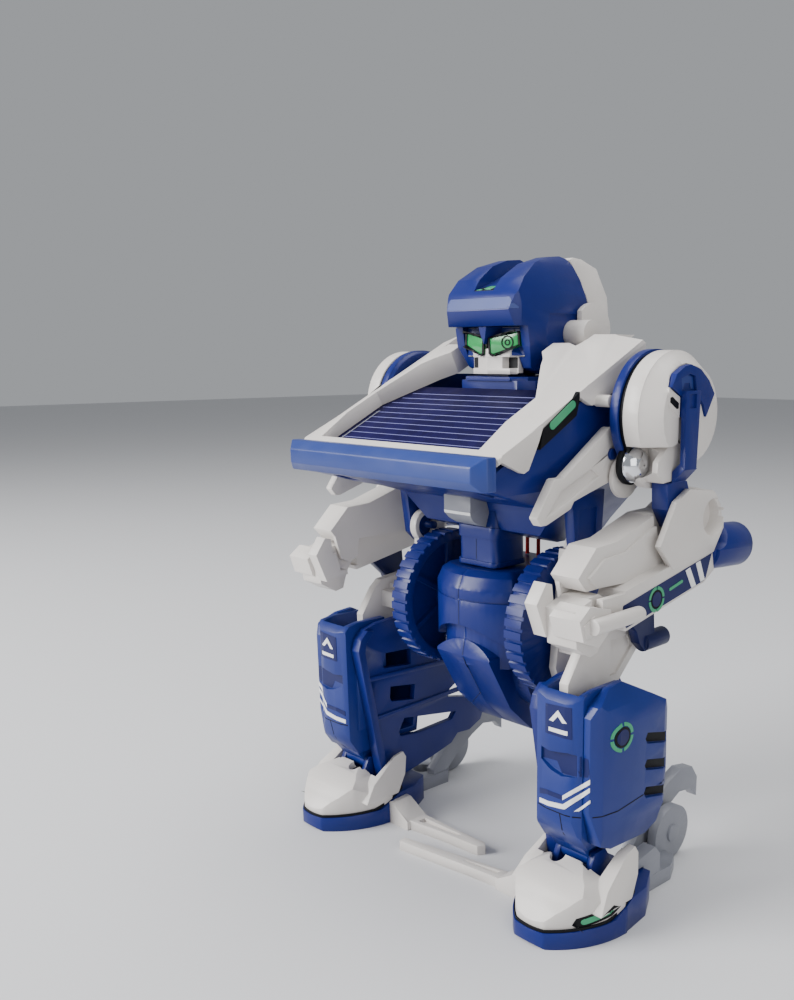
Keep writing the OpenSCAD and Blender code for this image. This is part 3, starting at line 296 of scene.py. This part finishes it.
# ---------- legs ----------
for side, tag in ((1, "left"), (-1, "right")):
    shin, foot = "shin_" + tag, "foot_" + tag
    front = ("leg_front_" + tag, "leg_cover_" + tag)
    cover = ("leg_cover_" + tag,)
    fore = from_front(side)
    out = from_outside(side)
    mark("leg_plate_" + tag, shin, DEEP, [
        [(42.6, 60.4), (50.8, 61.0), (51.0, 52.8), (42.6, 52.7)]], front, fore)
    mark("leg_plate_mark_" + tag, shin, MARK_WHITE, [
        [(44.0, 56.4), (46.8, 59.6), (49.6, 56.8), (48.3, 56.6), (46.8, 58.0), (45.3, 56.3)],
        [(43.9, 54.6), (49.8, 54.8), (49.8, 53.7), (43.9, 53.6)]], front, fore, thick=0.2)
    # Deep-blue films in the leg's front recess and on the facet beside it: painted shade for the shadow in the
    # recess and on its shaded facet.
    mark("leg_recess_" + tag, shin, DEEP, [
        [(41.1, 48.3), (44.4, 48.1), (49.7, 48.9), (53.2, 48.5), (53.2, 43.4), (48.0, 42.8), (47.2, 42.9),
         (45.6, 45.6), (41.1, 45.3)]], front, fore, thick=0.05)
    mark("leg_recess_side_" + tag, shin, DEEP, [
        [(53.6, 48.5), (54.9, 48.3), (55.4, 43.7), (53.6, 43.3)]], front, fore, thick=0.05)
    mark("leg_band_" + tag, shin, DEEP, [
        [(40.3, 36.9), (43.5, 37.6), (48.4, 37.6), (48.4, 36.4), (43.5, 36.4), (40.3, 35.4)]], front, fore)
    mark("leg_stripes_" + tag, shin, MARK_WHITE, [
        [(48.6, 37.6), (55.4, 43.2), (55.4, 41.9), (48.6, 36.4)],
        [(40.3, 34.2), (48.7, 35.3), (55.4, 41.0), (55.4, 39.8), (49.3, 34.1), (40.3, 33.0)],
        [(51.6, 34.0), (55.5, 37.8), (55.5, 36.9), (52.7, 34.2)]], front, fore, thick=0.16)
    mark("leg_split_" + tag, shin, BLACK, [
        stroke((39.6, 32.4), (53.1, 32.4), 0.3),
        stroke((47.5, 32.2), (47.5, 25.6), 0.3)], front, fore, thick=0.05)
    mark("cover_split_" + tag, shin, BLACK, [
        stroke((-37.5, 33.0), (-10.4, 35.0), 0.3)], cover, out, thick=0.05)
    for i, z in enumerate((50.9, 43.6, 36)):
        mark("cover_notch_%d_%s" % (i, tag), shin, BLACK, [
            [(-19.2, z - 0.1), (-9.4, z - 2.6), (-9.4, z - 5.4), (-19.2, z - 2.9), (-20.0, z - 1.5)]],
            cover, out, thick=0.05)
    mark("cover_ring_" + tag, shin, MARK_GREEN, [
        band(-29.7, 52.7, 3.1, 4.1, a + 6, a + 84, squash=0.92) for a in (0, 90, 180, 270)], cover, out)
    mark("cover_disc_" + tag, shin, BLACK, [disc(-29.7, 52.7, 2.9, 0.92)], cover, out)
    mark("cover_eye_" + tag, shin, DEEP, [disc(-29.7, 52.7, 2.2, 0.92)], cover, out, thick=0.2)

# ---------- feet ----------
for side, tag in ((1, "left"), (-1, "right")):
    foot = "foot_" + tag
    sole = ("foot_sole_" + tag,)
    both = ("foot_cover_" + tag, "foot_sole_" + tag)
    mark("foot_lamp_bed_" + tag, foot, BLACK, [
        [(-44.6, 6.0), (-43.6, 8.0), (-34.6, 9.8), (-31.6, 8.2), (-34.4, 6.6), (-42.4, 5.4)]],
        both, from_outside(side))
    mark("foot_lamp_" + tag, foot, MARK_GREEN, [
        pill((-41.9, 6.9), (-35.4, 8.1), 0.75)], both, from_outside(side), thick=0.25)


def sole_seam(name, foot, side):
    """Dark band in the joint between the foot's cover and its sole, along the edge of the foot."""
    def edge(x, d):
        return max(cy - math.sqrt(max((r - d) ** 2 - (x - cx) ** 2, 0))
                   for cx, cy, r in ((10.7, -28.6, 26.4), (-10.7, -28.6, 26.4), (0, -33.4, 17.2)))

    def path(d):
        xs = [(-14.6 + 29.2 * i / 40) * (15.3 - d) / 15.3 for i in range(41)]
        flat = [(x, edge(x, d)) for x in xs]
        return [(-14.7 + d, -25), (-15.3 + d, -29.5)] + flat + [(15.3 - d, -29.5), (14.7 - d, -25)]

    def height(y):
        return 4.4 + (y + 50.8) * 0.0476 if y < -34 else 5.2 + (y + 34) * 0.457

    bm = bmesh.new()
    rows = []
    for (x0, y0), (x1, y1) in zip(path(0.3), path(1.5)):
        z = height(y0)
        rows.append([bm.verts.new((side * (46 + x) * MM, (y + SHIFT) * MM, (z + dz) * MM))
                     for x, y, dz in ((x0, y0, -0.3), (x0, y0, 0.75), (x1, y1, 0.75), (x1, y1, -0.3))])
    for a, b in zip(rows, rows[1:]):
        for i in range(4):
            k = (i + 1) % 4
            bm.faces.new([a[i], a[k], b[k], b[i]])
    bm.faces.new(rows[0])
    bm.faces.new(rows[-1])
    return finish_piece(bm, name, foot, BLACK)


for side, tag in ((1, "left"), (-1, "right")):
    sole_seam("sole_seam_" + tag, "foot_" + tag, side)

# ---------- arms ----------
for side, tag in ((1, "left"), (-1, "right")):
    upper, fore_body = "upper_arm_" + tag, "forearm_" + tag
    arm = ("forearm_" + tag,)
    shell = ("shoulder_shell_" + tag, "upper_arm_" + tag)
    out = from_outside(side)
    mark("forearm_print_" + tag, fore_body, DEEP, [
        [(-28.0, 85.2), (-28.6, 82.5), (-26.6, 79.4), (7.2, 85.7), (8.0, 86.4), (10.4, 92.6)]],
        arm, out, step=2.0)
    mark("forearm_ring_" + tag, fore_body, MARK_GREEN, [
        band(-14.4, 84.4, 2.5, 3.3, a + 5, a + 85) for a in (0, 90, 180, 270)], arm, out, thick=0.24)
    mark("forearm_eye_" + tag, fore_body, BLACK, [disc(-14.4, 84.4, 2.4)], arm, out, thick=0.2)
    mark("forearm_eye_core_" + tag, fore_body, DEEP, [disc(-14.4, 84.4, 1.9)], arm, out, thick=0.26)
    mark("forearm_dash_" + tag, fore_body, MARK_GREEN, [
        pill((-8.6, 86.0), (-3.4, 87.2), 0.4)], arm, out, thick=0.24)
    mark("forearm_stripes_" + tag, fore_body, MARK_WHITE, [
        [(-1.9, 89.8), (0.1, 90.3), (3.2, 85.1), (1.2, 84.7)],
        [(2.8, 91.0), (4.8, 91.4), (7.3, 86.0), (5.4, 85.6)]], arm, out, thick=0.24)
    mark("shoulder_slot_" + tag, upper, BLACK, [
        [(-11.5, 133.7), (-10.6, 133.9), (-7.9, 132.3), (-7.9, 131.1), (-8.6, 130.9), (-11.5, 132.6)]],
        shell, out, thick=0.1)
    mark("strap_key_" + tag, upper, LIGHT_BLUE, [
        [(-7.3, 138.0), (-4.0, 138.9), (-1.8, 138.4), (-1.2, 135.6), (-2.5, 135.6), (-3.0, 137.0), (-5.2, 137.0),
         (-5.8, 135.6), (-7.2, 135.6)]], shell, out, thick=0.12)


def turned(name, body, mat, profile, centre, side, n=40):
    """Surface of revolution about X: profile of (x, r), closed on itself."""
    bm = bmesh.new()
    rings = []
    for i in range(n):
        a = 2 * math.pi * i / n
        rings.append([bm.verts.new((side * x * MM, (centre[0] + r * math.cos(a) + SHIFT) * MM,
                                    (centre[1] + r * math.sin(a)) * MM)) for x, r in profile])
    for i in range(n):
        a, b = rings[i], rings[(i + 1) % n]
        for j in range(len(profile)):
            k = (j + 1) % len(profile)
            bm.faces.new([a[j], a[k], b[k], b[j]])
    return finish_piece(bm, name, body, mat, smooth=True)


# reflector and lamp in the shoulder
for side, tag in ((1, "left"), (-1, "right")):
    upper = "upper_arm_" + tag
    centre = (-11.6, 117.0)
    turned("shoulder_reflector_" + tag, upper, CHROME, [
        (44.4, 0.02), (44.4, 4.6), (46.6, 4.6), (47.9, 4.1), (48.9, 3.2), (49.5, 2.0), (49.8, 0.9),
        (49.85, 0.02)], centre, side)
    turned("shoulder_lamp_seal_" + tag, upper, BLACK, [
        (44.6, 4.5), (44.6, 5.15), (45.9, 5.15), (45.9, 4.5)], centre, side)
    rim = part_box("shoulder_rim_" + tag)
    hub = ((rim[0][1] + rim[1][1]) / 2 / MM - SHIFT, (rim[0][2] + rim[1][2]) / 2 / MM)
    r = (rim[1][2] - rim[0][2]) / 2 / MM
    turned("shoulder_gap_" + tag, upper, BLACK, [
        (45.5, r - 2), (45.5, r - 0.7), (47.05, r - 0.7), (47.05, r - 2)], hub, side, n=72)

# ---------- head ----------
helmet = ("helmet",)
mark("brow_band", "head", LIGHT_BLUE, [
    [(-12.4, 155.7), (-11.2, 158.4), (11.2, 158.4), (13.2, 155.9), (13.2, 155.5), (-12.4, 155.4)]],
    helmet, from_front(), thick=0.1)
mark("crown_print", "head", BLACK, [
    [(-3.5, -17.8), (-3.3, -16.2), (-1.2, -14.2), (3.9, -14.0), (3.4, -17.8)]], helmet, from_top())
mark("crown_cells", "head", MARK_GREEN, [
    [(-1.3, -16.5), (-0.7, -14.7), (2.9, -14.6), (2.1, -16.4)],
    [(-3.1, -17.5), (-2.9, -16.9), (-1.2, -16.9), (-1.3, -17.5)],
    [(0.2, -17.5), (0.3, -16.9), (2.0, -16.9), (2.2, -17.5)]], helmet, from_top(), thick=0.2, step=0.6)
mark("visor_back", "head", BLUE, [
    [(-10.7, 143.6), (-10.7, 150.9), (10.7, 150.9), (10.7, 143.6)]],
    ("face_plate",), from_front(), thick=0.1, step=3)
mark("mask_notches", "head", BLACK, [
    [(s * 5.05, 140.3), (s * 5.05, 143.1), (s * 8.3, 143.1), (s * 8.3, 140.3)] for s in (-1, 1)],
    ("face_plate",), from_front(), thick=0.08, step=3)


def slab(name, body, mat, outline, x0, x1, side=1):
    """Flat plate between two X planes: outline of (y, z)."""
    bm = bmesh.new()
    ends = [[bm.verts.new((side * x * MM, (y + SHIFT) * MM, z * MM)) for y, z in outline] for x in (x0, x1)]
    bm.faces.new(ends[0])
    bm.faces.new(ends[1])
    for i in range(len(outline)):
        k = (i + 1) % len(outline)
        bm.faces.new([ends[0][i], ends[0][k], ends[1][k], ends[1][i]])
    return finish_piece(bm, name, body, mat)


def wedge(name, body, mat, outline, lean):
    """Nose piece: outline of (x, z) in front of the face, its front drawn in towards the middle line."""
    bm = bmesh.new()
    back = [bm.verts.new((x * MM, (-13.0 + SHIFT) * MM, z * MM)) for x, z in outline]
    front = [bm.verts.new((x * 0.55 * MM, (lean(z) + SHIFT) * MM, z * MM)) for x, z in outline]
    bm.faces.new(back)
    bm.faces.new(front)
    for i in range(len(outline)):
        k = (i + 1) % len(outline)
        bm.faces.new([back[i], back[k], front[k], front[i]])
    return finish_piece(bm, name, body, mat)


# Black wedge set behind the nose piece: a painted shadow under the nose.
wedge("nose_shadow", "head", BLACK, [
    (-1.5, 150.8), (1.5, 150.8), (1.2, 147.4), (0, 145.5), (-1.2, 147.4)], lambda z: -17.1)
wedge("nose_wedge", "head", BLUE, [
    (-2.6, 151.1), (2.6, 151.1), (1.3, 148.4), (0, 146.6), (-1.3, 148.4)], lambda z: -18.6 + (151.1 - z) * 0.12)
EYE = [(1.3, 144.0), (1.0, 148.3), (9.9, 149.9), (10.1, 146.2), (2.4, 143.6)]
for side, tag in ((1, "left"), (-1, "right")):
    eye = ("eye_lenses",)
    rim = []
    for i, a in enumerate(EYE):
        b = EYE[(i + 1) % len(EYE)]
        rim.append(stroke(a, b, 0.7))
    mark("eye_rim_" + tag, "head", BLACK, rim, eye, from_front(side), thick=0.2)
mark("eye_target", "head", BLACK, [
    band(6.6, 147.0, 1.45, 1.8, a, a + 90) for a in (0, 90, 180, 270)] + [
    band(6.6, 147.0, 0.5, 0.8, a, a + 90) for a in (0, 90, 180, 270)],
    ("eye_lenses",), from_front(), thick=0.12)

# ---------- chest ----------
panel = ("solar_panel",)
TILT = math.radians(26.5)  # slope of the panel


def up_slope(outline):
    """Outline given in the panel's own plane, as seen from above."""
    return [(u, -52 + v * math.cos(TILT) + 1.6 * math.sin(TILT)) for u, v in outline]


def half_width(v):
    """Half of the width of the window over the cells."""
    return 30.5 - max(v - 25, 0) * 0.62


mark("panel_lines", "torso", FINE_LINE, [
    up_slope(stroke((1.2 - half_width(v), v), (half_width(v) - 1.2, v), 0.16))
    for v in [4.9 + 2.75 * i for i in range(11)]], panel, from_top(), thick=0.05, step=8)
mark("panel_edge", "torso", MARK_WHITE, [
    up_slope([(-29.8, 2.5), (-28.6, 4.0), (12.0, 4.0), (13.6, 2.5)])], panel, from_top(), thick=0.3, step=8)
mark("panel_edge_dark", "torso", DEEP, [
    up_slope([(14.4, 2.5), (13.0, 4.0), (28.4, 4.0), (29.6, 2.5)])], panel, from_top(), thick=0.3, step=8)
mark("panel_side_lines", "torso", GREY, [
    up_slope(stroke((s * 28.6, 4.2), (s * 28.6, 25.2), 0.5)) for s in (-1, 1)],
    panel, from_top(), thick=0.06, step=8)

for side, tag in ((1, "left"), (-1, "right")):
    slab("frame_plate_" + tag, "torso", BLACK, [
        (-37.9, 121.9), (-36.9, 126.5), (-23.5, 135.0), (-23.5, 133.3), (-24.6, 129.3)], 35.8, 38.4, side)
    slab("frame_lamp_" + tag, "torso", MARK_GREEN, pill((-33.6, 127.4), (-26.2, 132.0), 1.0),
         38.3, 38.55, side)
mark("gearbox_seam", "torso", NAVY, [
    stroke((0, z0), (0, z1), 0.3)
    for z0, z1 in ((84.0, 80.7), (80.4, 77.9), (77.1, 70.3), (64.9, 61.0), (60.4, 46.0))],
    ("gearbox_left", "gearbox_right"), from_front(), thick=0.06, step=2)
mark("waist_seam", "torso", NAVY, [
    stroke((0, 93.7), (0, 87.9), 0.26)], ("waist_column",), from_front(), thick=0.06, step=2)
mark("bar_shadow_gap", "torso", BLACK, [
    stroke((-34, 112.9), (34, 112.9), 0.7)], ("chest_tray",), from_front(), thick=0.1, step=4)
mark("latch_band", "torso", MARK_WHITE, [
    [(-5.1, 101.5), (5.1, 101.5), (5.1, 102.3), (-5.1, 102.3)]], ("waist_latch",), from_front(), thick=0.1)


# ---------- stage ----------
def flat_material(name, color, rough=0.8):
    mat = bpy.data.materials.new(name)
    mat.use_nodes = True
    shader = mat.node_tree.nodes["Principled BSDF"]
    shader.inputs["Base Color"].default_value = color
    shader.inputs["Roughness"].default_value = rough
    return mat


bpy.ops.mesh.primitive_plane_add(size=6, location=(0, 0, 0))
floor = bpy.context.object
floor.name = "floor"
floor.data.materials.append(flat_material("floor_paint", srgb(206, 206, 208)))

world = bpy.data.worlds.new("studio")
bpy.context.scene.world = world
world.use_nodes = True
world.node_tree.nodes["Background"].inputs["Color"].default_value = (0.85, 0.88, 0.92, 1)
world.node_tree.nodes["Background"].inputs["Strength"].default_value = 0.42


def area(name, at, aim, size, power, color=(1, 1, 1)):
    data = bpy.data.lights.new(name, "AREA")
    data.size = size
    data.energy = power
    data.color = color
    o = bpy.data.objects.new(name, data)
    bpy.context.collection.objects.link(o)
    o.location = at
    o.rotation_euler = (Vector(aim) - Vector(at)).to_track_quat("-Z", "Y").to_euler()
    return o


area("key", (-0.5, -0.75, 0.5), (0, 0, 0.09), 0.6, 17)
area("fill", (0.7, -0.35, 0.35), (0, 0, 0.09), 0.6, 2.5)
area("top", (0.05, 0.1, 0.9), (0, 0, 0.1), 0.7, 6.5)

# ---------- camera: the picture's viewpoint ----------
AZIMUTH = math.radians(42.957)
PITCH = math.radians(13.925)
right = Vector((math.cos(AZIMUTH), math.sin(AZIMUTH), 0))
back = Vector((math.sin(AZIMUTH) * math.cos(PITCH), -math.cos(AZIMUTH) * math.cos(PITCH), math.sin(PITCH)))
up = back.cross(right)
cam_data = bpy.data.cameras.new("camera")
cam_data.lens = 35.2
cam_data.sensor_width = 36
cam_data.clip_start = 0.01
cam_data.shift_x = -0.123
cam_data.shift_y = 0.100
camera = bpy.data.objects.new("camera", cam_data)
bpy.context.collection.objects.link(camera)
turn = Matrix((right, up, back)).transposed().to_4x4()
camera.matrix_world = Matrix.Translation(Vector((193.33, -211.29 + SHIFT, 143.06)) * MM) @ turn
bpy.context.scene.camera = camera

bpy.context.view_layer.update()
